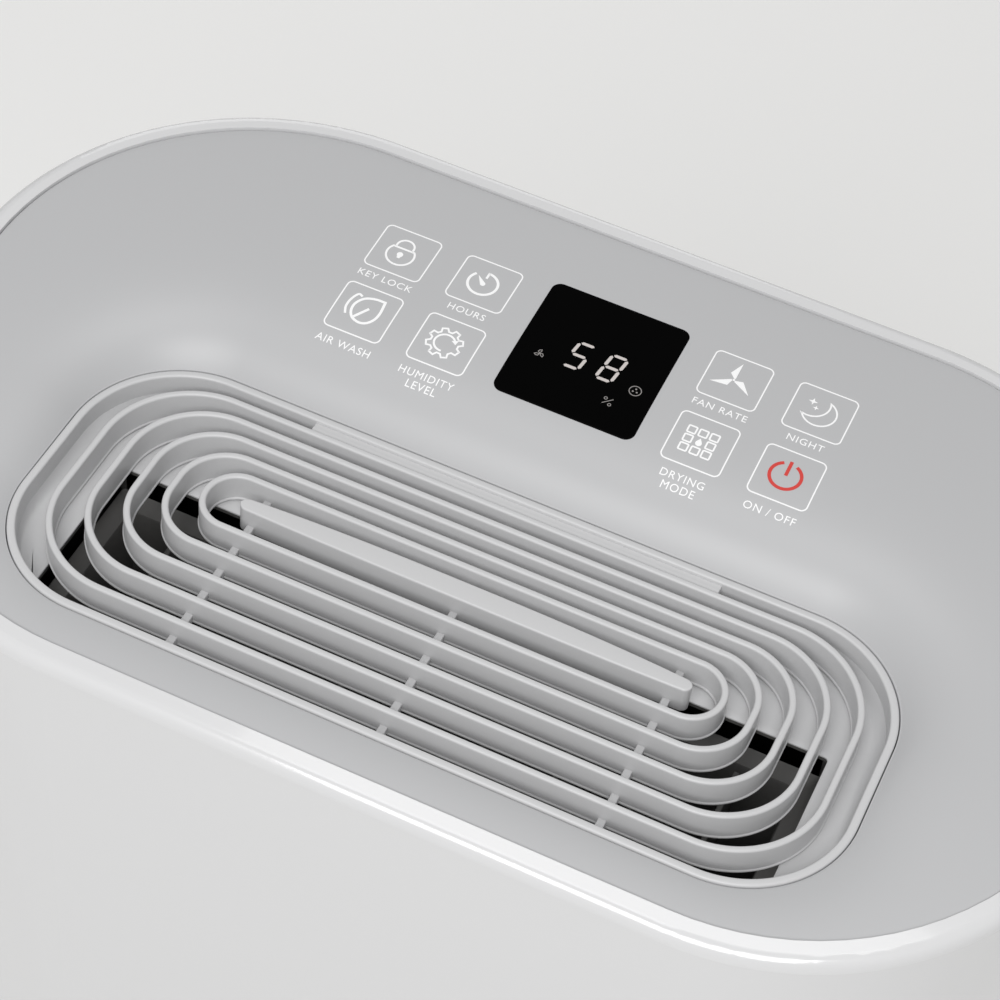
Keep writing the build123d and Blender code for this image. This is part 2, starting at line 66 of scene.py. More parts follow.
top = {
    "rearRise": 16.2,       # rim at the back above the fins
    "slopeHalf": float(bodyHigh[1]) + 1.0,      # from the middle to where the slope is level
    "dishReach": 9.0,       # how fast the panel sinks to the outlet
    "rimProud": 0.8,        # rim above the panel
    "corner": 84.9,
    "edgeRound": 0.5,       # at the rim
    "lipRound": 0.35,       # at the outlet
    "lipGap": 0.25,         # between the panel and the outlet's frame
    "deep": 2.4,
    "across": 90,           # rows from the outlet to the rim
    "crowd": 1.7,           # above 1 puts more rows close to the outlet
}
outlet = {
    "corner": 33.0,
    "rings": 5,
    "first": 9.1,           # frame to the first ring, at the ends
    "side": 8.8,            # ring to ring at the ends, in front and behind
    "front": 8.62,
    "rear": 5.8,
    "radii": (27.8, 23.6, 19.4, 15.2, 10.3),
    "finWide": 2.0,
    "finDeep": 9.0,
    "finRound": 0.7,
    "frameWide": 2.4,
    "foot": 0.3,            # a fin's foot is this much wider on each side
    "footHigh": 0.7,
}
outletX = float(grilleLow[0] + grilleHigh[0]) / 2
outletHalf = float(grilleHigh[0] - grilleLow[0]) / 2


def slopeHeight(y):
    # circle arc through the side view: level at the back, steepest at the front
    half = top["slopeHalf"]
    radius = ((2 * half) ** 2 + top["rearRise"] ** 2) / (2 * top["rearRise"])
    return finTop + top["rearRise"] - radius + np.sqrt(radius ** 2 - (half - y) ** 2)


def outletDistance(x, y):
    # signed distance to a rounded rectangle: outside is positive
    midY = (grilleLow[1] + grilleHigh[1]) / 2
    qx = np.abs(x - outletX) - outletHalf + outlet["corner"]
    qy = np.abs(y - midY) - (grilleHigh[1] - grilleLow[1]) / 2 + outlet["corner"]
    outside = np.hypot(np.maximum(qx, 0), np.maximum(qy, 0))
    return outside + np.minimum(np.maximum(qx, qy), 0) - outlet["corner"]


def panelHeight(x, y):
    # the slope times 1 - exp(-distance / reach), so the panel sinks to the fins round the outlet
    sink = 1 - np.exp(-np.maximum(outletDistance(x, y), 0) / top["dishReach"])
    return finTop - top["rimProud"] + (slopeHeight(y) - finTop) * sink


def roundedOutline(half, low, high, radius, perCorner=24, perSide=40):
    # points and outward normals of a rounded rectangle, anticlockwise from the right side
    corners = ((half - radius, high - radius, 0), (-half + radius, high - radius, 90),
               (-half + radius, low + radius, 180), (half - radius, low + radius, 270))
    turn = np.radians(np.linspace(0, 90, perCorner))
    points, normals = [], []
    for i, (cx, cy, start) in enumerate(corners):
        angle = turn + math.radians(start)
        normal = np.column_stack([np.cos(angle), np.sin(angle)])
        arc = np.array([cx, cy]) + radius * normal
        endNormal = normal[-1]
        nextPoint = np.array(corners[(i + 1) % 4][:2]) + radius * endNormal
        t = np.linspace(0, 1, perSide + 2)[1:-1, None]
        side = arc[-1] * (1 - t) + nextPoint * t
        points += [arc, side]
        normals += [normal, np.repeat(endNormal[None], len(side), 0)]
    return np.concatenate(points), np.concatenate(normals)


def gridMesh(name, points, closedRows=False, closedCols=False, caps=False):
    # points is rows x cols x 3 in millimetres; neighbours in the grid share a face
    rows, cols = points.shape[:2]
    index = np.arange(rows * cols).reshape(rows, cols)
    nextRow, nextCol = np.roll(index, -1, 0), np.roll(index, -1, 1)
    quads = np.stack([index, nextCol, np.roll(nextRow, -1, 1), nextRow], -1)
    if not closedRows:
        quads = quads[:-1]
    if not closedCols:
        quads = quads[:, :-1]
    faces = quads.reshape(-1, 4).tolist()
    if caps:
        faces += [index[0][::-1].tolist(), index[-1].tolist()]
    return meshPiece(name, points.reshape(-1, 3), faces)


sharpAngle = math.radians(38)       # edges steeper than this stay crisp
weld = 1e-7                         # in metres


def meshPiece(name, points, faces):
    mesh = bpy.data.meshes.new(name)
    mesh.from_pydata((np.asarray(points) * mm).tolist(), [], faces)
    bm = bmesh.new()
    bm.from_mesh(mesh)
    bmesh.ops.remove_doubles(bm, verts=bm.verts, dist=weld)
    bmesh.ops.recalc_face_normals(bm, faces=bm.faces)
    bm.to_mesh(mesh)
    bm.free()
    mesh.polygons.foreach_set("use_smooth", np.full(len(mesh.polygons), True))
    mesh.set_sharp_from_angle(angle=sharpAngle)
    piece = bpy.data.objects.new(name, mesh)
    bpy.context.scene.collection.objects.link(piece)
    return piece


def sweepLoop(name, outline, normals, profile):
    # a closed profile (offset outwards, height) carried round a closed outline
    offset, height = np.asarray(profile).T
    xy = outline[:, None, :] + normals[:, None, :] * offset[None, :, None]
    z = np.broadcast_to(height, xy.shape[:2])[..., None]
    return gridMesh(name, np.concatenate([xy, z], -1), True, True)


def roundTopProfile(inner, outer, low, high, radius, steps=6, foot=0.0):
    # a wall's section: upright sides, with rounded top edges and a slightly wider foot
    turn = np.radians(np.linspace(0, 90, steps))
    right = np.column_stack([outer - radius + radius * np.cos(turn), high - radius + radius * np.sin(turn)])
    left = np.column_stack([inner + radius - radius * np.sin(turn), high - radius + radius * np.cos(turn)])
    if foot:
        high, half = low + outlet["footHigh"], low + outlet["footHigh"] / 2
        bottom = [(inner, high), (inner - foot, half), (inner - foot, low),
                  (outer + foot, low), (outer + foot, half), (outer, high)]
    else:
        bottom = [(inner, low), (outer, low)]
    return np.concatenate([right, left, bottom])


def join(name, pieces):
    # several meshes in one object, at the origin
    bm = bmesh.new()
    for piece in pieces:
        bm.from_mesh(piece.data)
    mesh = bpy.data.meshes.new(name)
    bm.to_mesh(mesh)
    bm.free()
    mesh.polygons.foreach_set("use_smooth", np.full(len(mesh.polygons), True))
    mesh.set_sharp_from_angle(angle=sharpAngle)
    for piece in pieces:
        old = piece.data
        bpy.data.objects.remove(piece)
        bpy.data.meshes.remove(old)
    whole = bpy.data.objects.new(name, mesh)
    bpy.context.scene.collection.objects.link(whole)
    return whole


def newGroup(name, inputs, outputs):
    group = bpy.data.node_groups.new(name, "ShaderNodeTree")
    for label, kind, value in inputs:
        socket = group.interface.new_socket(name=label, in_out="INPUT", socket_type=kind)
        socket.default_value = value
    for label, kind in outputs:
        group.interface.new_socket(name=label, in_out="OUTPUT", socket_type=kind)
    return group


def link(tree, source, target):
    tree.links.new(source, target)


def buildGrainGroup():
    # fine moulded grain and slow cloudiness, from noise in Object coordinates
    group = newGroup("MouldedGrain", [
        ("Color", "NodeSocketColor", (0.5, 0.5, 0.5, 1)), ("Tint", "NodeSocketFloat", 0.02),
        ("Roughness", "NodeSocketFloat", 0.4), ("Roughness Spread", "NodeSocketFloat", 0.05),
        ("Grain Size", "NodeSocketFloat", 2500.0)],
        [("Color", "NodeSocketColor"), ("Roughness", "NodeSocketFloat"), ("Height", "NodeSocketFloat")])
    make = group.nodes.new
    enter, leave = make("NodeGroupInput"), make("NodeGroupOutput")
    place = make("ShaderNodeTexCoord")
    cloud = make("ShaderNodeTexNoise")
    cloud.inputs["Scale"].default_value = 14.0
    cloud.inputs["Detail"].default_value = 4.0
    grain = make("ShaderNodeTexNoise")
    grain.inputs["Detail"].default_value = 3.0
    grain.inputs["Roughness"].default_value = 0.6
    link(group, place.outputs["Object"], cloud.inputs["Vector"])
    link(group, place.outputs["Object"], grain.inputs["Vector"])
    link(group, enter.outputs["Grain Size"], grain.inputs["Scale"])
    both = make("ShaderNodeMath")
    both.operation = "ADD"
    link(group, cloud.outputs["Fac"], both.inputs[0])
    link(group, grain.outputs["Fac"], both.inputs[1])
    centred = make("ShaderNodeMath")
    centred.operation = "SUBTRACT"
    centred.inputs[1].default_value = 1.0
    link(group, both.outputs[0], centred.inputs[0])
    shade = make("ShaderNodeMath")
    shade.operation = "MULTIPLY_ADD"
    shade.inputs[2].default_value = 1.0
    link(group, centred.outputs[0], shade.inputs[0])
    link(group, enter.outputs["Tint"], shade.inputs[1])
    colour = make("ShaderNodeVectorMath")
    colour.operation = "SCALE"
    link(group, enter.outputs["Color"], colour.inputs[0])
    link(group, shade.outputs[0], colour.inputs["Scale"])
    rough = make("ShaderNodeMath")
    rough.operation = "MULTIPLY_ADD"
    link(group, centred.outputs[0], rough.inputs[0])
    link(group, enter.outputs["Roughness Spread"], rough.inputs[1])
    link(group, enter.outputs["Roughness"], rough.inputs[2])
    link(group, colour.outputs[0], leave.inputs["Color"])
    link(group, rough.outputs[0], leave.inputs["Roughness"])
    link(group, grain.outputs["Fac"], leave.inputs["Height"])
    return group


def buildBandsGroup():
    # repeated thin bands along one axis in Object coordinates: sine of the distance, sharpened
    group = newGroup("ThinBands", [
        ("Color", "NodeSocketColor", (0.7, 0.7, 0.7, 1)),
        ("Between", "NodeSocketColor", (0.05, 0.05, 0.05, 1)),
        ("Axis", "NodeSocketVector", (1, 0, 0)), ("Pitch", "NodeSocketFloat", 0.0018),
        ("Share", "NodeSocketFloat", 0.5)],
        [("Color", "NodeSocketColor"), ("Height", "NodeSocketFloat")])
    make = group.nodes.new
    enter, leave = make("NodeGroupInput"), make("NodeGroupOutput")
    place = make("ShaderNodeTexCoord")
    along = make("ShaderNodeVectorMath")
    along.operation = "DOT_PRODUCT"
    link(group, place.outputs["Object"], along.inputs[0])
    link(group, enter.outputs["Axis"], along.inputs[1])
    turns = make("ShaderNodeMath")
    turns.operation = "DIVIDE"
    link(group, along.outputs["Value"], turns.inputs[0])
    link(group, enter.outputs["Pitch"], turns.inputs[1])
    saw = make("ShaderNodeMath")
    saw.operation = "FRACT"
    link(group, turns.outputs[0], saw.inputs[0])
    peak = make("ShaderNodeMath")
    peak.operation = "PINGPONG"
    peak.inputs[1].default_value = 0.5
    link(group, saw.outputs[0], peak.inputs[0])
    edge = make("ShaderNodeMapRange")
    edge.interpolation_type = "SMOOTHSTEP"
    half = make("ShaderNodeMath")
    half.operation = "MULTIPLY"
    half.inputs[1].default_value = 0.5
    link(group, enter.outputs["Share"], half.inputs[0])
    upper = make("ShaderNodeMath")
    upper.operation = "ADD"
    upper.inputs[1].default_value = 0.12
    link(group, half.outputs[0], upper.inputs[0])
    link(group, peak.outputs[0], edge.inputs["Value"])
    link(group, half.outputs[0], edge.inputs["From Min"])
    link(group, upper.outputs[0], edge.inputs["From Max"])
    mix = make("ShaderNodeMix")
    mix.data_type = "RGBA"
    link(group, edge.outputs["Result"], mix.inputs["Factor"])
    link(group, enter.outputs["Between"], mix.inputs["A"])
    link(group, enter.outputs["Color"], mix.inputs["B"])
    link(group, mix.outputs["Result"], leave.inputs["Color"])
    link(group, edge.outputs["Result"], leave.inputs["Height"])
    return group


def buildDustGroup():
    # dust settles where a face looks up, broken up by noise
    group = newGroup("SettledDust", [
        ("Color", "NodeSocketColor", (0.5, 0.5, 0.5, 1)),
        ("Dust", "NodeSocketColor", (0.42, 0.40, 0.37, 1)),
        ("Amount", "NodeSocketFloat", 0.3), ("Roughness", "NodeSocketFloat", 0.4)],
        [("Color", "NodeSocketColor"), ("Roughness", "NodeSocketFloat")])
    make = group.nodes.new
    enter, leave = make("NodeGroupInput"), make("NodeGroupOutput")
    shape = make("ShaderNodeNewGeometry")
    split = make("ShaderNodeSeparateXYZ")
    link(group, shape.outputs["Normal"], split.inputs[0])
    place = make("ShaderNodeTexCoord")
    patches = make("ShaderNodeTexNoise")
    patches.inputs["Scale"].default_value = 45.0
    patches.inputs["Detail"].default_value = 5.0
    link(group, place.outputs["Object"], patches.inputs["Vector"])
    rise = make("ShaderNodeMapRange")
    rise.inputs["From Min"].default_value = 0.35
    rise.inputs["From Max"].default_value = 1.0
    link(group, split.outputs["Z"], rise.inputs["Value"])
    strength = make("ShaderNodeMath")
    strength.operation = "MULTIPLY"
    link(group, rise.outputs["Result"], strength.inputs[0])
    link(group, patches.outputs["Fac"], strength.inputs[1])
    mask = make("ShaderNodeMath")
    mask.operation = "MULTIPLY"
    mask.use_clamp = True
    link(group, strength.outputs[0], mask.inputs[0])
    link(group, enter.outputs["Amount"], mask.inputs[1])
    mix = make("ShaderNodeMix")
    mix.data_type = "RGBA"
    link(group, mask.outputs[0], mix.inputs["Factor"])
    link(group, enter.outputs["Color"], mix.inputs["A"])
    link(group, enter.outputs["Dust"], mix.inputs["B"])
    rough = make("ShaderNodeMath")
    rough.operation = "ADD"
    rough.use_clamp = True
    link(group, enter.outputs["Roughness"], rough.inputs[0])
    link(group, mask.outputs[0], rough.inputs[1])
    link(group, mix.outputs["Result"], leave.inputs["Color"])
    link(group, rough.outputs[0], leave.inputs["Roughness"])
    return group


grainGroup = buildGrainGroup()
bandsGroup = buildBandsGroup()
dustGroup = buildDustGroup()


def rgba(colour):
    return (*colour, 1.0)


def plastic(name, colour, roughness=0.4, tint=0.02, spread=0.06, size=2500.0, bump=0.02, depth=0.00005,
            **sockets):
    # a moulded plastic: grain feeds colour, roughness and a faint bump
    material = bpy.data.materials.new(name)
    material.use_nodes = True
    tree = material.node_tree
    shader = tree.nodes["Principled BSDF"]
    grain = tree.nodes.new("ShaderNodeGroup")
    grain.node_tree = grainGroup
    grain.inputs["Color"].default_value = rgba(colour)
    grain.inputs["Tint"].default_value = tint
    grain.inputs["Roughness"].default_value = roughness
    grain.inputs["Roughness Spread"].default_value = spread
    grain.inputs["Grain Size"].default_value = size
    relief = tree.nodes.new("ShaderNodeBump")
    relief.inputs["Strength"].default_value = bump
    relief.inputs["Distance"].default_value = depth
    link(tree, grain.outputs["Color"], shader.inputs["Base Color"])
    link(tree, grain.outputs["Roughness"], shader.inputs["Roughness"])
    link(tree, grain.outputs["Height"], relief.inputs["Height"])
    link(tree, relief.outputs["Normal"], shader.inputs["Normal"])
    for socket, value in sockets.items():
        shader.inputs[socket].default_value = value
    return material


def withDust(material, amount=0.35):
    # puts settled dust between the material's grain and its shader
    tree = material.node_tree
    shader = tree.nodes["Principled BSDF"]
    dust = tree.nodes.new("ShaderNodeGroup")
    dust.node_tree = dustGroup
    dust.inputs["Amount"].default_value = amount
    for socket, target in (("Color", "Base Color"), ("Roughness", "Roughness")):
        source = shader.inputs[target].links[0].from_socket
        link(tree, source, dust.inputs[socket])
        link(tree, dust.outputs[socket], shader.inputs[target])
    return material


def banded(name, colour, between, axis, pitch, share, roughness, depth, second=None, **sockets):
    # bands over a plastic or metal: fins, a woven screen or a knurl
    material = plastic(name, colour, roughness, **sockets)
    tree = material.node_tree
    shader = tree.nodes["Principled BSDF"]
    relief = next(n for n in tree.nodes if n.bl_idname == "ShaderNodeBump")
    colourIn, heightIn = shader.inputs["Base Color"].links[0].from_socket, None
    for direction in (axis, second):
        if direction is None:
            continue
        bands = tree.nodes.new("ShaderNodeGroup")
        bands.node_tree = bandsGroup
        bands.inputs["Between"].default_value = rgba(between)
        bands.inputs["Axis"].default_value = direction
        bands.inputs["Pitch"].default_value = pitch
        bands.inputs["Share"].default_value = share
        link(tree, colourIn, bands.inputs["Color"])
        colourIn = bands.outputs["Color"]
        if heightIn is None:
            heightIn = bands.outputs["Height"]
        else:
            both = tree.nodes.new("ShaderNodeMath")
            both.operation = "MULTIPLY"
            link(tree, heightIn, both.inputs[0])
            link(tree, bands.outputs["Height"], both.inputs[1])
            heightIn = both.outputs[0]
    link(tree, colourIn, shader.inputs["Base Color"])
    link(tree, heightIn, relief.inputs["Height"])
    relief.inputs["Strength"].default_value = 0.8
    relief.inputs["Distance"].default_value = depth
    return material


def finish(piece, material, body="cabinet", replaced=()):
    for entry in material if isinstance(material, tuple) else (material,):
        piece.data.materials.append(entry)
    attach(piece, body)
    if replaced:
        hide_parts(*replaced)
    return piece


look = {
    "panel": plastic("SatinGrey", (0.475, 0.477, 0.484), 0.42, tint=0.012, bump=0.05),
    "outlet": plastic("OutletGrey", (0.57, 0.57, 0.575), 0.38, tint=0.012, bump=0.04),
    "white": plastic("GlossWhite", (0.68, 0.68, 0.685), 0.16, tint=0.006, spread=0.02, size=900.0,
                     bump=0.01, **{"Coat Weight": 0.6, "Coat Roughness": 0.04}),
    "print": plastic("WhiteInk", (0.93, 0.93, 0.93), 0.5, tint=0.01),
    "markInk": plastic("GreyInk", (0.16, 0.165, 0.17), 0.5, tint=0.02),
    "red": plastic("RedInk", (0.62, 0.045, 0.035), 0.5, tint=0.02),
    "black": plastic("BlackWindow", (0.0015, 0.0015, 0.0015), 0.12, tint=0.0, spread=0.02, bump=0.004,
                     **{"Specular IOR Level": 0.02}),
    "duct": plastic("DuctGrey", (0.52, 0.52, 0.525), 0.5, tint=0.02, bump=0.06),
    # painted shade: a dark grey standing in for the shadow deep in the outlet's throat, not the part's own
    # colour
    "chute": plastic("PaintedDeepShade", (0.085, 0.083, 0.08), 0.6, tint=0.05, bump=0.08),
    "tank": plastic("TankWhite", (0.69, 0.695, 0.70), 0.24, tint=0.008, bump=0.02),
}
print("materials ready")


def makePanel():
    # rows run round the outlet; columns run out from the outlet to the rim, then back along the underside
    hole = top["lipGap"]
    counts = {"perCorner": 80, "perSide": 100}
    inner, innerNormal = roundedOutline(outletHalf + hole, grilleLow[1] - hole, grilleHigh[1] + hole,
                                        outlet["corner"] + hole, **counts)
    inner[:, 0] += outletX
    outer, outerNormal = roundedOutline(panelHigh[0], panelLow[1], panelHigh[1], top["corner"], **counts)
    r, e = top["lipRound"], top["edgeRound"]
    spread = np.linspace(0, 1, top["across"]) ** top["crowd"]
    start, end = inner + innerNormal * r, outer - outerNormal * e
    flat = start[:, None, :] * (1 - spread[None, :, None]) + end[:, None, :] * spread[None, :, None]
    flatZ = panelHeight(flat[..., 0], flat[..., 1])
    turn = np.radians(np.linspace(0, 90, 7))[:-1]

    def lip(edge, normal, radius, z, sign):
        # quarter round from the upright wall up to the surface
        xy = edge[:, None, :] + sign * normal[:, None, :] * (radius * (1 - np.cos(turn)))[None, :, None]
        return xy, z[:, None] - radius + (radius * np.sin(turn))[None, :]

    innerXy, innerZ = lip(inner, innerNormal, r, flatZ[:, 0], 1)
    outerXy, outerZ = lip(outer, outerNormal, e, flatZ[:, -1], -1)
    outerXy, outerZ = outerXy[:, ::-1], outerZ[:, ::-1]
    low = top["deep"]
    under = np.stack([outer, inner], 1)
    underZ = np.stack([flatZ[:, -1] - low, flatZ[:, 0] - low], 1)
    middle = np.stack([start * (1 - t) + end * t for t in np.linspace(0.97, 0.03, 30)], 1)
    middleZ = panelHeight(middle[..., 0], middle[..., 1]) - low
    xy = np.concatenate([innerXy, flat, outerXy, under[:, :1], middle, under[:, 1:]], 1)
    z = np.concatenate([innerZ, flatZ, outerZ, underZ[:, :1], middleZ, underZ[:, 1:]], 1)
    return gridMesh("topPanel", np.concatenate([xy, z[..., None]], -1), True, True)


finish(makePanel(), look["panel"], replaced=["top_panel"])
print("top panel")


def ringOutline(k, inset, **counts):
    # outline of ring k, moved in by inset; number 0 is the frame
    half, radius = outletHalf - inset, outlet["corner"] - inset
    if k:
        half -= outlet["first"] + outlet["side"] * (k - 1)
        radius = outlet["radii"][k - 1] - inset
    points, normals = roundedOutline(half, grilleLow[1] + outlet["front"] * k + inset,
                                     grilleHigh[1] - outlet["rear"] * k - inset, radius, **counts)
    points[:, 0] += outletX
    return points, normals


def makeGrille():
    # each ring is one wall section carried round its outline; the bar and the ribs join them
    counts = {"perCorner": 48, "perSide": 30}
    low = finTop - outlet["finDeep"]
    pieces = []
    for k in range(outlet["rings"] + 1):
        wide = outlet["frameWide"] if k == 0 else outlet["finWide"]
        outline, normals = ringOutline(k, wide / 2, **counts)
        section = roundTopProfile(-wide / 2, wide / 2, low, finTop, outlet["finRound"], foot=outlet["foot"])
        pieces.append(sweepLoop("ring", outline, normals, section))
    pieces.append(makeBar(low))
    pieces += makeRibs(low)
    return join("outletGrille", pieces)


bar = {
    "x": -0.5,
    "half": 67.0,
    "shift": 1.0,               # behind the middle of the innermost ring
    "wide": 6.5,
    "taperRear": 1.9,           # how much the rear and front edges come in at the ends
    "taperFront": 0.6,
    "endRound": 2.2,
    "round": 0.6,
}
rib = {"columns": (-62.1, 0.0, 62.1), "wide": 2.3, "drop": 6.2, "round": 0.3, "inside": 1.2}
strip = {
    "half": 62.0,
    "lift": 3.0,                # its underside above the feet of the fins
    "round": 0.25,
    "start": -0.6,              # its front edge, from the outer ring's
    "steps": ((0.0, 0.9, 2.3), (2.3, 1.15, 1.6), (3.9, 0.75, 1.0)),     # back by, below the fins by, depth
}


def makeBar(low):
    # a long board: its rear edge eases in towards the ends, its front edge barely; all top edges rounded
    midY = (grilleLow[1] + grilleHigh[1] + (outlet["front"] - outlet["rear"]) * outlet["rings"]) / 2
    x = bar["half"] * np.sin(np.linspace(-1, 1, 161) * math.pi / 2)
    u = np.abs(x) / bar["half"]
    rear = bar["wide"] / 2 - bar["taperRear"] * u ** 2.6
    front = -bar["wide"] / 2 + bar["taperFront"] * u ** 3
    middle, half = (rear + front) / 2, (rear - front) / 2
    inEnd = np.clip((u * bar["half"] - bar["half"] + bar["endRound"]) / bar["endRound"], 0, 1)
    half = half - bar["endRound"] * 0.9 * (1 - np.sqrt(1 - inEnd ** 2))
    turn = np.linspace(0, math.pi / 2, 8)
    r = np.minimum(bar["round"], half * 0.8)[:, None]
    right = np.stack([half[:, None] - r + r * np.cos(turn), finTop - r + r * np.sin(turn)], -1)
    left = np.stack([-half[:, None] + r - r * np.sin(turn), finTop - r + r * np.cos(turn)], -1)
    foot = np.stack([np.stack([-half, half], 1), np.full((len(x), 2), low)], -1)
    section = np.concatenate([right, left, foot], 1)
    place = np.broadcast_to((x + bar["x"])[:, None, None], section.shape[:2] + (1,))
    points = np.concatenate([place, section], -1)
    points[..., 1] += midY + bar["shift"] + middle[:, None]
    return gridMesh("bar", points, False, True, caps=True)


def makeRibs(low):
    # low cross ribs under the fins in three columns, and the flat strip behind the outer ring
    pieces = []
    for column in rib["columns"]:
        pieces.append(ribBlock(outletX + column, grilleLow[1] + rib["inside"], grilleHigh[1] - rib["inside"],
                               low + 0.1, finTop - rib["drop"], rib["wide"], rib["round"]))
    y0 = grilleHigh[1] - outlet["rear"] + strip["start"]
    for back, drop, deep in strip["steps"]:
        pieces.append(ribBlock(outletX, y0 + back, y0 + back + deep, low + strip["lift"], finTop - drop,
                               2 * strip["half"], strip["round"]))
    return pieces


def ribBlock(x, y0, y1, z0, z1, wide, radius):
    # a bar along Y with rounded top edges
    section = roundTopProfile(-wide / 2, wide / 2, z0, z1, radius, 4)
    y = np.array([y0, y1])
    points = np.zeros((2, len(section), 3))
    points[..., 0] = x + section[:, 0]
    points[..., 1] = y[:, None]
    points[..., 2] = section[:, 1]
    return gridMesh("rib", points, False, True, caps=True)


finish(makeGrille(), look["outlet"], replaced=["outlet_grille"])
print("outlet grille")

duct = {
    "drop": 9.5,                # its floor under the fins
    "wall": 2.2,                # where it meets the frame, from the frame's outer edge
    "cove": 5.0,                # how far the floor's curve up to the frame reaches, and its height
    "coveHigh": 3.4,
    "mouth": (-106.5, 106.0, -82.0, -29.4),
    "mouthRound": 1.2,
    "mouthInside": 2.9,         # the mouth keeps this far inside the outlet's outline
    "rows": 26,                 # from the frame to the mouth, closer together at the frame
    "crowd": 1.6,
    "thick": 1.2,
    "strip": 9.0,               # upright wall below the mouth's edge
    "ledge": 5.5,
    "throat": 60.0,
    "throatIn": 3.0,            # the throat narrows by this much more on each side
    "vanePitch": 21.2,
    "vaneGap": 1.5,             # between the ledge and a vane
    "vaneWide": 1.6,
    "vaneFront": 4.0,           # from the ledge to a vane's front end
    "vaneBelow": 3.0,           # top of a vane under the ledge
    "vaneHigh": 23.0,
    "vaneRound": 0.4,
}


def keepInside(points, gap):
    # points closer to the frame than gap move inwards to it
    step = 0.01
    d = outletDistance(points[:, 0], points[:, 1])
    gx = (outletDistance(points[:, 0] + step, points[:, 1]) - d) / step
    gy = (outletDistance(points[:, 0], points[:, 1] + step) - d) / step
    push = np.maximum(d + gap, 0)
    return points - np.column_stack([gx, gy]) * push[:, None]


def mouthLoop(grow, counts):
    # outline of the duct's mouth, a rounded rectangle kept inside the frame
    x0, x1, y0, y1 = duct["mouth"]
    loop = roundedOutline((x1 - x0) / 2 + grow, y0 - grow, y1 + grow, duct["mouthRound"], **counts)[0]
    loop[:, 0] += (x0 + x1) / 2
    return keepInside(loop, duct["mouthInside"] - grow)


def makeDuct():
    # the floor runs in from the frame to the mouth, each point a mix of the two outlines, and rises to
    # the frame in a parabola; below the mouth the wall goes down in steps, and faces deeper than the floor
    # get a dark painted shade
    counts = {"perCorner": 40, "perSide": 60}
    floor = finTop - duct["drop"]
    wall = duct["wall"]
    outer = roundedOutline(outletHalf - wall, grilleLow[1] + wall, grilleHigh[1] - wall,
                           outlet["corner"] - wall, **counts)[0]
    outer[:, 0] += outletX
    mouth = mouthLoop(0.0, counts)
    wide = np.hypot(*(mouth - outer).T)
    rows = [np.column_stack([outer, np.full(len(outer), floor - 2.0)])]
    for t in np.linspace(0, 1, duct["rows"]) ** duct["crowd"]:
        point = outer * (1 - t) + mouth * t
        reach = np.minimum(duct["cove"], wide * 0.9)
        rise = duct["coveHigh"] * reach / duct["cove"] * np.clip(1 - wide * t / reach, 0, 1) ** 2
        rows.append(np.column_stack([point, floor + rise]))
    deeper = ((0.15, 0.1), (0.2, 0.5), (0.2, duct["strip"]), (0.6, duct["strip"] + 0.4),
              (duct["ledge"], duct["strip"] + 1.2), (duct["ledge"] + 0.4, duct["strip"] + 2.0),
              (duct["ledge"] + duct["throatIn"], duct["throat"]))
    for inset, drop in deeper:
        rows.append(np.column_stack([mouthLoop(-inset, counts), np.full(len(mouth), floor - drop)]))
    base = np.array(rows)
    under = base[::-1].copy()
    under[..., 2] -= duct["thick"]
    under[-1] = base[0] - np.array([0, 0, 0.3])
    pieces = [gridMesh("ductTray", np.concatenate([base, under[:-1]]), True, True)]
    x0, x1, y0, y1 = duct["mouth"]
    inset = duct["ledge"] + duct["vaneGap"]
    vaneTop = floor - duct["strip"] - duct["vaneBelow"]
    for x in np.arange(x0 + duct["vanePitch"], x1 - inset, duct["vanePitch"]):
        pieces.append(ribBlock(x, y0 + inset + duct["vaneFront"], y1 - inset, vaneTop - duct["vaneHigh"],
                               vaneTop, duct["vaneWide"], duct["vaneRound"]))
    piece = join("outletDuct", pieces)
    # faces deeper than the floor, vanes included, take the dark second material as painted shade for the
    # shadowed throat
    polygons = piece.data.polygons
    centre = np.empty(len(polygons) * 3)
    polygons.foreach_get("center", centre)
    inside = centre[2::3] / mm < floor - 0.4
    polygons.foreach_set("material_index", inside.astype(np.int32))
    return piece


# the second material is painted shade for the deep throat
finish(makeDuct(), (look["duct"], look["chute"]), replaced=["outlet_duct"])
print("outlet duct")

window = {
    "corner": 3.0,
    "proud": 0.15,
    # rows of the rounded edge: inwards by, above the panel by
    "edge": ((0.0, -0.8), (0.0, 0.02), (0.06, 0.10), (0.16, 0.14), (0.3, 0.15)),
}


def windowTop(x, y):
    return panelHeight(x, y) + window["proud"]


def makeWindow():
    # a slab that follows the panel's curve, its edge rounded over
    half = float(windowHigh[0])
    y0, y1 = float(windowLow[1]), float(windowHigh[1])
    outline, normals = roundedOutline(half, y0, y1, window["corner"], perCorner=16, perSide=24)
    midPoint = np.array([0.0, (y0 + y1) / 2])
    rows = []
    for inset, lift in window["edge"]:
        edge = outline - normals * inset
        rows.append(np.column_stack([edge, panelHeight(edge[:, 0], edge[:, 1]) + lift]))
    for t in np.linspace(0.1, 0.98, 14):
        edge = (outline - normals * window["edge"][-1][0]) * (1 - t) + midPoint * t
        rows.append(np.column_stack([edge, windowTop(edge[:, 0], edge[:, 1])]))
    return gridMesh("displayWindow", np.array(rows), False, True, caps=True)


finish(makeWindow(), look["black"], replaced=["display_window"])
print("display window")

ink = {"lift": 0.06, "step": 0.6, "thick": 0.12}     # printed lines, in millimetres


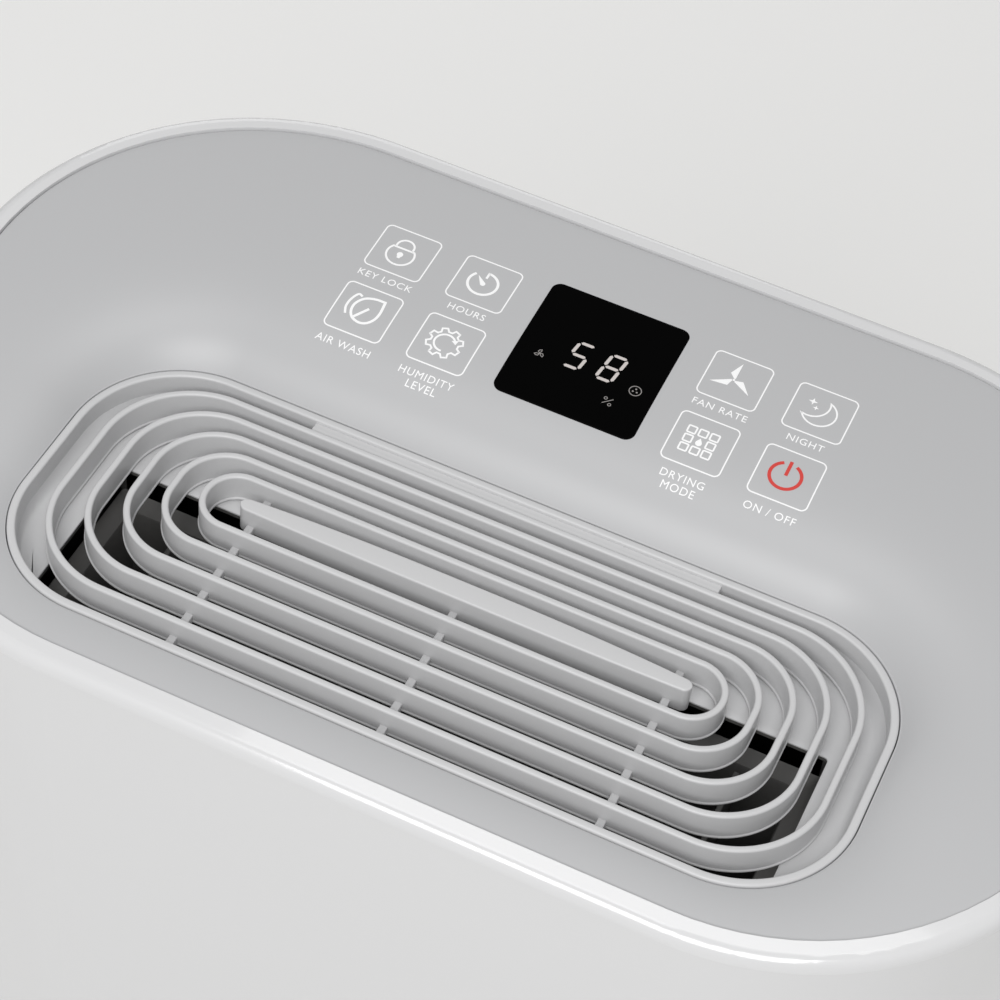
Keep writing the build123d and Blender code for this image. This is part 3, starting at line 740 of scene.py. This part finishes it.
def resample(path, step, closed):
    # points along a path no further apart than step
    path = np.asarray(path, float)
    if closed:
        path = np.vstack([path, path[:1]])
    length = np.r_[0, np.cumsum(np.hypot(*np.diff(path, axis=0).T))]
    keep = np.r_[True, np.diff(length) > 1e-6]
    path, length = path[keep], length[keep]
    count = max(3, int(length[-1] / step) + 1)
    extra = np.linspace(0, length[-1], count)
    at = np.unique(np.concatenate([extra, length]).round(5))
    points = np.column_stack([np.interp(at, length, path[:, i]) for i in (0, 1)])
    return points[:-1] if closed else points


def unit(v):
    # rows of v at length 1
    return v / np.maximum(np.hypot(v[:, 0], v[:, 1]), 1e-9)[:, None]


def strokeMesh(path, wide, lift, closed=False, base=None, thick=ink["thick"]):
    # a flat printed line: the path offset both ways along its normal, laid on the panel's height
    points = resample(path, ink["step"], closed)
    if closed:
        ahead, behind = np.roll(points, -1, 0) - points, points - np.roll(points, 1, 0)
    else:
        ahead = np.diff(points, axis=0, append=points[-1:] * 2 - points[-2:-1])
        behind = np.vstack([ahead[:1], ahead[:-1]])
    a, b = unit(ahead), unit(behind)
    tangent = unit(a + b)
    normal = np.column_stack([-tangent[:, 1], tangent[:, 0]])
    stretch = 1 / np.clip((tangent * b).sum(1), 0.5, 1)
    left = points + normal * (wide / 2 * stretch)[:, None]
    right = points - normal * (wide / 2 * stretch)[:, None]
    surface = base or panelHeight
    rows = []
    for edge, drop in ((left, 0), (right, 0), (right, thick), (left, thick)):
        rows.append(np.column_stack([edge, surface(edge[:, 0], edge[:, 1]) + lift - drop]))
    return gridMesh("stroke", np.stack(rows, 1), closed, True, caps=not closed)


def fillMesh(path, lift, base=None, thick=ink["thick"]):
    # a filled printed shape, its outline given as points
    path = np.asarray(path, float)
    surface = base or panelHeight
    z = surface(path[:, 0], path[:, 1])
    points = np.stack([np.column_stack([path, z + lift - thick]), np.column_stack([path, z + lift])])
    return gridMesh("fill", points, False, True, caps=True)


def arc(cx, cy, radius, start, end, steps=32):
    turn = np.radians(np.linspace(start, end, steps))
    return np.column_stack([cx + radius * np.cos(turn), cy + radius * np.sin(turn)])


def roundSquare(cx, cy, half, radius, halfY=None):
    halfY = halfY or half
    return roundedOutline(half, -halfY, halfY, radius, 8, 2)[0] + np.array([cx, cy])


key = {"halfX": 8.78, "halfY": 8.85, "round": 1.7, "line": 0.41, "rear": 63.2, "front": 37.6}
label = {"size": 3.35, "rear": 13.3, "front": 14.1, "row": 3.35, "spacing": 1.12, "thick": 0.06}


def smoothPath(points):
    # a Catmull-Rom curve through the points, open at both ends
    p = np.asarray(points, float)
    p = np.vstack([2 * p[0] - p[1], p, 2 * p[-1] - p[-2]])
    t = np.linspace(0, 1, 10, endpoint=False)[:, None]
    parts = []
    for a, b, c, d in zip(p[:-3], p[1:-2], p[2:-1], p[3:]):
        square, cube = 2 * a - 5 * b + 4 * c - d, 3 * b - a - 3 * c + d
        parts.append(0.5 * (2 * b + (c - a) * t + square * t ** 2 + cube * t ** 3))
    return np.vstack(parts + [p[-2:-1]])


def turned(points, degrees):
    a = math.radians(degrees)
    return np.asarray(points) @ np.array([[math.cos(a), math.sin(a)], [-math.sin(a), math.cos(a)]])


def padlock():
    body = arc(0, -1.0, 4.2, 143, 397, 40)
    shackle = np.vstack([[(2.65, 1.6)], arc(0.0, 2.5, 2.65, 0, 180, 26), [(-2.65, 1.6)]])
    keyhole = np.vstack([arc(-0.1, -1.0, 0.95, -50, 230, 20), [(-0.5, -2.5), (0.3, -2.5)]])
    return [(body, 0.62, True), (shackle, 0.62, False)], [keyhole]


def timerDial():
    ring = arc(0, 0, 4.45, 88, -222, 60)
    notch = np.array([(0.15, 4.75), (0.1, 2.3)])
    needle = np.vstack([[(-2.5, 2.6)], arc(0.0, -0.1, 0.8, 70, -160, 16)])
    return [(ring, 0.8, False), (notch, 0.7, False)], [needle]


def leaf():
    edge = smoothPath([(4.6, 5.6), (1.7, 5.5), (-1.2, 4.4), (-2.9, 2.0), (-3.1, -0.7), (-1.9, -3.1),
                       (0.4, -4.2), (2.7, -3.8), (4.4, -1.8), (5.0, 1.2), (4.6, 5.6)])[:-1]
    back = smoothPath([(-2.3, 4.8), (-3.7, 5.1), (-4.8, 2.6), (-5.0, -0.4), (-4.1, -2.9)])
    vein = np.array([(-1.6, -3.4), (1.5, 1.4)])
    return [(edge, 0.78, True), (back, 0.7, False), (vein, 0.8, False)], []


def gear():
    angle = np.arange(8)[:, None] * 45 + np.array([-15.0, -8.5, 8.5, 15.0])[None]
    radius = np.tile([4.15, 5.35, 5.35, 4.15], 8)
    turn = np.radians(angle.ravel() + 22.5)
    teeth = np.column_stack([radius * np.cos(turn), radius * np.sin(turn)])
    sweep = arc(0, 0, 3.05, 275, 32, 50)
    head = turned([(3.05 - 1.0, 0.75), (3.05 + 1.0, 0.75), (3.05, -0.75)], 24)
    return [(teeth, 0.55, True), (sweep, 0.6, False)], [head]


def threeBlades():
    blade = [(-0.1, 0.5), (-1.75, 2.2), (0.3, 6.9), (0.35, 0.6)]
    fills = [turned(blade, 120 * i) for i in range(3)]
    return [], fills + [arc(0, 0, 0.38, 0, 345, 16)]


def moon():
    outer = arc(0.2, 0.0, 5.0, 203, 426, 44)
    inner = arc(-2.7, 2.8, 5.15, 21, -113, 36)
    fills = []
    for x, y, size in ((-2.8, 3.2, 1.35), (-1.3, 1.2, 0.9)):
        spike = np.tile([1.0, 0.34], 4) * size
        fills.append(arc(0, 0, 1, 0, 315, 8) * spike[:, None] + np.array([x, y]))
    return [(np.vstack([outer[1:-1], inner]), 0.5, True)], fills


def cells():
    strokes = [(roundSquare(3.4 * i, 3.28 * j, 1.22, 0.3), 0.5, True)
               for i in (-1, 0, 1) for j in (-1, 0, 1) if i or j]
    drop = np.vstack([arc(0, -0.45, 0.95, 150, 390, 20), [(0.0, 1.3)]])
    return strokes, [drop]


def power():
    return [(arc(0, 0, 4.5, 115, 425, 60), 1.0, False), (np.array([(0, 0.1), (0, 5.3)]), 1.0, False)], []


keys = [        # place across the panel, row, drawing, words
    (-65.5, "rear", padlock, ["KEY LOCK"]),
    (-39.4, "rear", timerDial, ["HOURS"]),
    (-65.5, "front", leaf, ["AIR WASH"]),
    (-39.4, "front", gear, ["HUMIDITY", "LEVEL"]),
    (39.2, "rear", threeBlades, ["FAN RATE"]),
    (65.0, "rear", moon, ["NIGHT"]),
    (39.0, "front", cells, ["DRYING", "MODE"]),
    (64.8, "front", power, ["ON / OFF"]),
]
iconShift = np.array([-0.5, 0.0])


def textMesh(words, x, y):
    # lettering from the built-in font, bent onto the panel
    curve = bpy.data.curves.new("words", "FONT")
    curve.body = words
    curve.size = label["size"]
    curve.align_x = "CENTER"
    curve.space_character = label["spacing"]
    curve.resolution_u = 4
    curve.extrude = label["thick"]
    temp = bpy.data.objects.new("words", curve)
    bpy.context.scene.collection.objects.link(temp)
    mesh = bpy.data.meshes.new_from_object(temp.evaluated_get(bpy.context.evaluated_depsgraph_get()))
    bpy.data.objects.remove(temp)
    bpy.data.curves.remove(curve)
    co = np.empty(len(mesh.vertices) * 3)
    mesh.vertices.foreach_get("co", co)
    co = co.reshape(-1, 3) + (x, y, 0)
    co[:, 2] += panelHeight(co[:, 0], co[:, 1]) + ink["lift"] - label["thick"]
    mesh.vertices.foreach_set("co", (co * mm).ravel())
    piece = bpy.data.objects.new("words", mesh)
    bpy.context.scene.collection.objects.link(piece)
    return piece


def makePrints():
    white, red = [], []
    for x, row, draw, words in keys:
        y = key[row]
        frameLine = roundSquare(x, y, key["halfX"], key["round"], key["halfY"])
        white.append(strokeMesh(frameLine, key["line"], ink["lift"], True))
        strokes, fills = draw()
        target = red if draw is power else white
        place = np.array([x, y]) + iconShift
        target += [strokeMesh(path + place, wide, ink["lift"], closed) for path, wide, closed in strokes]
        target += [fillMesh(path + place, ink["lift"]) for path in fills]
        for i, line in enumerate(words):
            white.append(textMesh(line, x, y - label[row] - label["row"] * i))
    finish(join("keyPrints", white), look["print"])
    finish(join("powerPrint", red), look["red"])


makePrints()
print("key prints")


def litPlastic(name, colour, emission, strength):
    material = plastic(name, colour, 0.5, tint=0.02)
    shader = material.node_tree.nodes["Principled BSDF"]
    shader.inputs["Emission Color"].default_value = rgba(emission)
    shader.inputs["Emission Strength"].default_value = strength
    return material


lit = {"lift": 0.04, "thick": 0.03}     # the lit parts lie on the window, in millimetres
digit = {
    "wide": 4.65,
    "tall": 9.7,
    "line": 1.0,
    "gap": 0.3,
    "slant": 0.135,
    "left": -6.8,
    "low": 45.8,
    "pitch": 10.15,
    "shown": ("afgcd", "abcdefg"),
}
segments = {"a": ((0, 1), (1, 1)), "b": ((1, 1), (1, 0.5)), "c": ((1, 0.5), (1, 0)), "d": ((0, 0), (1, 0)),
            "e": ((0, 0.5), (0, 0)), "f": ((0, 1), (0, 0.5)), "g": ((0, 0.5), (1, 0.5))}


def makeDigits():
    pieces = []
    for i, names in enumerate(digit["shown"]):
        for name in names:
            (x0, y0), (x1, y1) = segments[name]
            a = np.array([x0 * digit["wide"], y0 * digit["tall"]])
            b = np.array([x1 * digit["wide"], y1 * digit["tall"]])
            along = (b - a) / np.hypot(*(b - a))
            across = np.array([-along[1], along[0]]) * digit["line"] / 2
            a, b = a + along * digit["gap"], b - along * digit["gap"]
            tip = along * digit["line"] / 2
            path = np.array([a, a + tip + across, b - tip + across, b, b - tip - across, a + tip - across])
            path[:, 0] += path[:, 1] * digit["slant"] + digit["left"] + digit["pitch"] * i
            path[:, 1] += digit["low"]
            pieces.append(fillMesh(path, lit["lift"], windowTop, lit["thick"]))
    return join("litDigits", pieces)


sign = {
    "fan": (-14.2, 46.3),
    "ring": (15.5, 46.1),
    "ringRadius": 1.75,
    "percent": (10.0, 39.1),
    "percentOut": (0.9, -0.9),      # its two rings lie this far out on each side
    "line": 0.22,
}


def makeSigns():
    # a small fan, a ring with three dots, and a percent sign
    strokes, dots = [], []
    blade = np.array([(0.1, 0.1), (0.5, 0.75), (1.15, 0.6), (1.5, 0.1), (0.9, -0.1)])
    strokes += [(turned(blade, 80 + 120 * i) + sign["fan"], sign["line"], True) for i in range(3)]
    strokes.append((arc(0, 0, sign["ringRadius"], 0, 351, 40) + sign["ring"], 0.24, True))
    for a in np.radians((90, 210, 330)):
        dots.append(arc(0, 0, 0.28, 0, 340, 10) + sign["ring"] + 0.7 * np.array([math.cos(a), math.sin(a)]))
    for side in (-1, 1):
        centre = np.array(sign["percent"]) + side * np.array(sign["percentOut"])
        strokes.append((arc(0, 0, 0.45, 0, 340, 16) + centre, 0.2, True))
    strokes.append((np.array([(-1.3, -1.1), (1.3, 1.3)]) + sign["percent"], sign["line"], False))
    pieces = [strokeMesh(path, wide, lit["lift"], closed, windowTop, lit["thick"])
              for path, wide, closed in strokes]
    pieces += [fillMesh(path, lit["lift"], windowTop, lit["thick"]) for path in dots]
    return join("litSigns", pieces)


finish(makeDigits(), litPlastic("LitDigits", (0.30, 0.28, 0.27), (0.50, 0.46, 0.44), 0.55))
finish(makeSigns(), litPlastic("LitSigns", (0.16, 0.155, 0.15), (0.55, 0.5, 0.48), 0.22))
print("lit signs")

levelMarks = {
    "count": 7,
    "gap": 2.6,             # from the window to a mark
    "long": 6.0,
    "short": 3.6,
    "high": 0.7,
    "proud": 0.06,
    "sunk": 0.1,
    "margin": 6.0,          # from the window's ends to the first and last mark
}


def makeLevelMarks():
    # graduations beside the tank's level window; every third one is long
    low, high = boxOf("level_window")
    face = boxOf("water_tank")[0][1]
    turns = np.array([(-1, -1), (1, -1), (1, 1), (-1, 1)])
    pieces = []
    margin = levelMarks["margin"]
    for i, z in enumerate(np.linspace(low[2] + margin, high[2] - margin, levelMarks["count"])):
        half = (levelMarks["short"] if i % 3 else levelMarks["long"]) / 2
        outline = turns * (half, levelMarks["high"] / 2) + (high[0] + levelMarks["gap"] + half, z)
        rows = [np.column_stack([outline[:, 0], np.full(4, y), outline[:, 1]])
                for y in (face + levelMarks["sunk"], face - levelMarks["proud"])]
        pieces.append(gridMesh("mark", np.array(rows), False, True, caps=True))
    return join("levelMarks", pieces)


finish(makeLevelMarks(), look["markInk"], body="tank")
print("level marks")

metal = {"Metallic": 1.0}
finishes = {
    "white_shell": look["white"],
    "white_tank": look["tank"],
    "duct": look["duct"],
    "module": plastic("ModulePlastic", (0.03, 0.03, 0.032), 0.45),
    "board": banded("BoardGreen", (0.02, 0.16, 0.06), (0.45, 0.33, 0.10), (1, 0, 0), 0.0042, 0.16, 0.35,
                    0.0001, second=(0, 0, 1)),
    "spring_steel": plastic("SpringSteel", (0.62, 0.61, 0.58), 0.28, size=6000.0, **metal),
    "casing": withDust(plastic("CasingGrey", (0.30, 0.31, 0.32), 0.48, bump=0.1), 0.3),
    "wheel_plastic": withDust(plastic("WheelPlastic", (0.55, 0.56, 0.56), 0.4, bump=0.05), 0.25),
    "motor": plastic("MotorSteel", (0.48, 0.48, 0.47), 0.34, size=5000.0, bump=0.15, **metal),
    "can": withDust(plastic("CanPaint", (0.012, 0.012, 0.013), 0.3, size=700.0, bump=0.25, depth=0.0002,
                            **{"Coat Weight": 0.5, "Coat Roughness": 0.12}), 0.25),
    "rubber": plastic("BlackRubber", (0.018, 0.018, 0.018), 0.75, tint=0.12, size=1200.0, bump=0.3,
                      depth=0.0001),
    "fins": banded("FinStack", (0.72, 0.73, 0.74), (0.03, 0.03, 0.03), (1, 0, 0), 0.0018, 0.45, 0.32,
                   0.0006, **{"Metallic": 0.85}),
    "copper": plastic("CopperPipe", (0.74, 0.36, 0.21), 0.27, tint=0.25, spread=0.18, size=160.0, **metal),
    "clear": plastic("ClearPlastic", (0.86, 0.90, 0.92), 0.06, tint=0.01, spread=0.01,
                     **{"Transmission Weight": 0.92, "IOR": 1.49}),
    "lid": plastic("LidPlastic", (0.62, 0.63, 0.64), 0.38),
    "foam": plastic("FloatFoam", (0.82, 0.82, 0.80), 0.85, tint=0.06, size=500.0, bump=0.6, depth=0.0004),
    "black_part": plastic("BlackPart", (0.022, 0.022, 0.023), 0.42, bump=0.1),
    "intake": plastic("IntakeWhite", (0.80, 0.80, 0.805), 0.3, tint=0.01, bump=0.03),
    "mesh": banded("WovenScreen", (0.10, 0.10, 0.105), (0.006, 0.006, 0.006), (1, 0, 0), 0.0016, 0.4, 0.6,
                   0.0003, second=(0, 0, 1)),
    "capacitor": plastic("CapacitorSleeve", (0.70, 0.70, 0.68), 0.3),
    "castor_body": plastic("CastorGrey", (0.07, 0.07, 0.072), 0.4, bump=0.08),
    "castor_tyre": withDust(plastic("CastorTyre", (0.03, 0.03, 0.031), 0.6, tint=0.1, bump=0.2), 0.5),
    "axle_steel": plastic("AxleSteel", (0.56, 0.56, 0.55), 0.25, size=5000.0, **metal),
    "panel": look["panel"],
    "outlet": look["outlet"],
    "window": look["black"],
}
plain = finishes["casing"]
subparts = {s["node"]: s["material_slot"] for s in frame["record"]["subparts"]}
for node, piece in nodes.items():
    material = finishes.get(subparts[node], plain)
    piece.data.materials.clear()
    piece.data.materials.append(material)
print("finishes on CAD nodes")

view = {
    "target": (-5.2, 2.5),      # on the level of the fins
    "distance": 737.0,
    "azimuth": 19.21,
    "elevation": 48.99,
    "roll": 7.2,
    "lens": 95.88,
}


def placeCamera():
    # the camera looks at the target from its azimuth and elevation, then rolls about its own axis
    az, el, roll = (math.radians(view[k]) for k in ("azimuth", "elevation", "roll"))
    back = Vector((math.sin(az) * math.cos(el), -math.cos(az) * math.cos(el), math.sin(el)))
    level = Vector((math.cos(az), math.sin(az), 0))
    upright = back.cross(level)
    right = level * math.cos(roll) + upright * math.sin(roll)
    up = back.cross(right)
    target = Vector((*view["target"], finTop))
    data = bpy.data.cameras.new("camera")
    data.lens = view["lens"]
    data.sensor_width = 36.0
    data.clip_start = 0.01
    data.clip_end = 50.0
    camera = bpy.data.objects.new("camera", data)
    place = (target + back * view["distance"]) * mm
    camera.matrix_world = Matrix.Translation(place) @ Matrix((right, up, back)).transposed().to_4x4()
    bpy.context.scene.collection.objects.link(camera)
    bpy.context.scene.camera = camera


lights = {      # place, aim, size, energy, in metres and watts
    "key": ((0.14, -1.2, 1.76), (0, 0, 0.49), (1.2, 0.85), 21.6),
    "overhead": ((0.0, 0.15, 2.3), (0, 0, 0.49), (1.1, 0.8), 7.2),
    "rear": ((-0.7, 1.5, 0.95), (0, 0, 0.3), (1.1, 0.9), 3.4),
}
stage = {
    "half": 30.0,
    "albedo": (0.755, 0.755, 0.748),
    "glow": (1.0, 0.99, 0.97),
    "strength": 0.2,
    "world": 0.34,
}


def areaLight(name, place, aim, size, energy):
    # a soft rectangular light that faces its aim
    data = bpy.data.lights.new(name, "AREA")
    data.shape = "RECTANGLE"
    data.size, data.size_y = size
    data.energy = energy
    lamp = bpy.data.objects.new(name, data)
    lamp.location = place
    lamp.rotation_euler = (Vector(aim) - Vector(place)).to_track_quat("-Z", "Y").to_euler()
    bpy.context.scene.collection.objects.link(lamp)


def makeStage():
    mesh = bpy.data.meshes.new("floor")
    half = stage["half"]
    corners = [(-half, -half, 0), (half, -half, 0), (half, half, 0), (-half, half, 0)]
    mesh.from_pydata(corners, [], [(0, 1, 2, 3)])
    floor = bpy.data.objects.new("floor", mesh)
    bpy.context.scene.collection.objects.link(floor)
    pale = plastic("PaleFloor", stage["albedo"], 0.6, tint=0.01, size=60.0, bump=0.01)
    shader = pale.node_tree.nodes["Principled BSDF"]
    shader.inputs["Emission Color"].default_value = rgba(stage["glow"])
    shader.inputs["Emission Strength"].default_value = stage["strength"]
    floor.data.materials.append(pale)
    world = bpy.data.worlds.new("studio")
    world.use_nodes = True
    background = world.node_tree.nodes["Background"]
    background.inputs["Color"].default_value = (1, 1, 1, 1)
    background.inputs["Strength"].default_value = stage["world"]
    bpy.context.scene.world = world


placeCamera()
makeStage()
for name, settings in lights.items():
    areaLight(name, *settings)
bpy.context.scene.view_settings.view_transform = "Standard"
print("camera, floor and light")
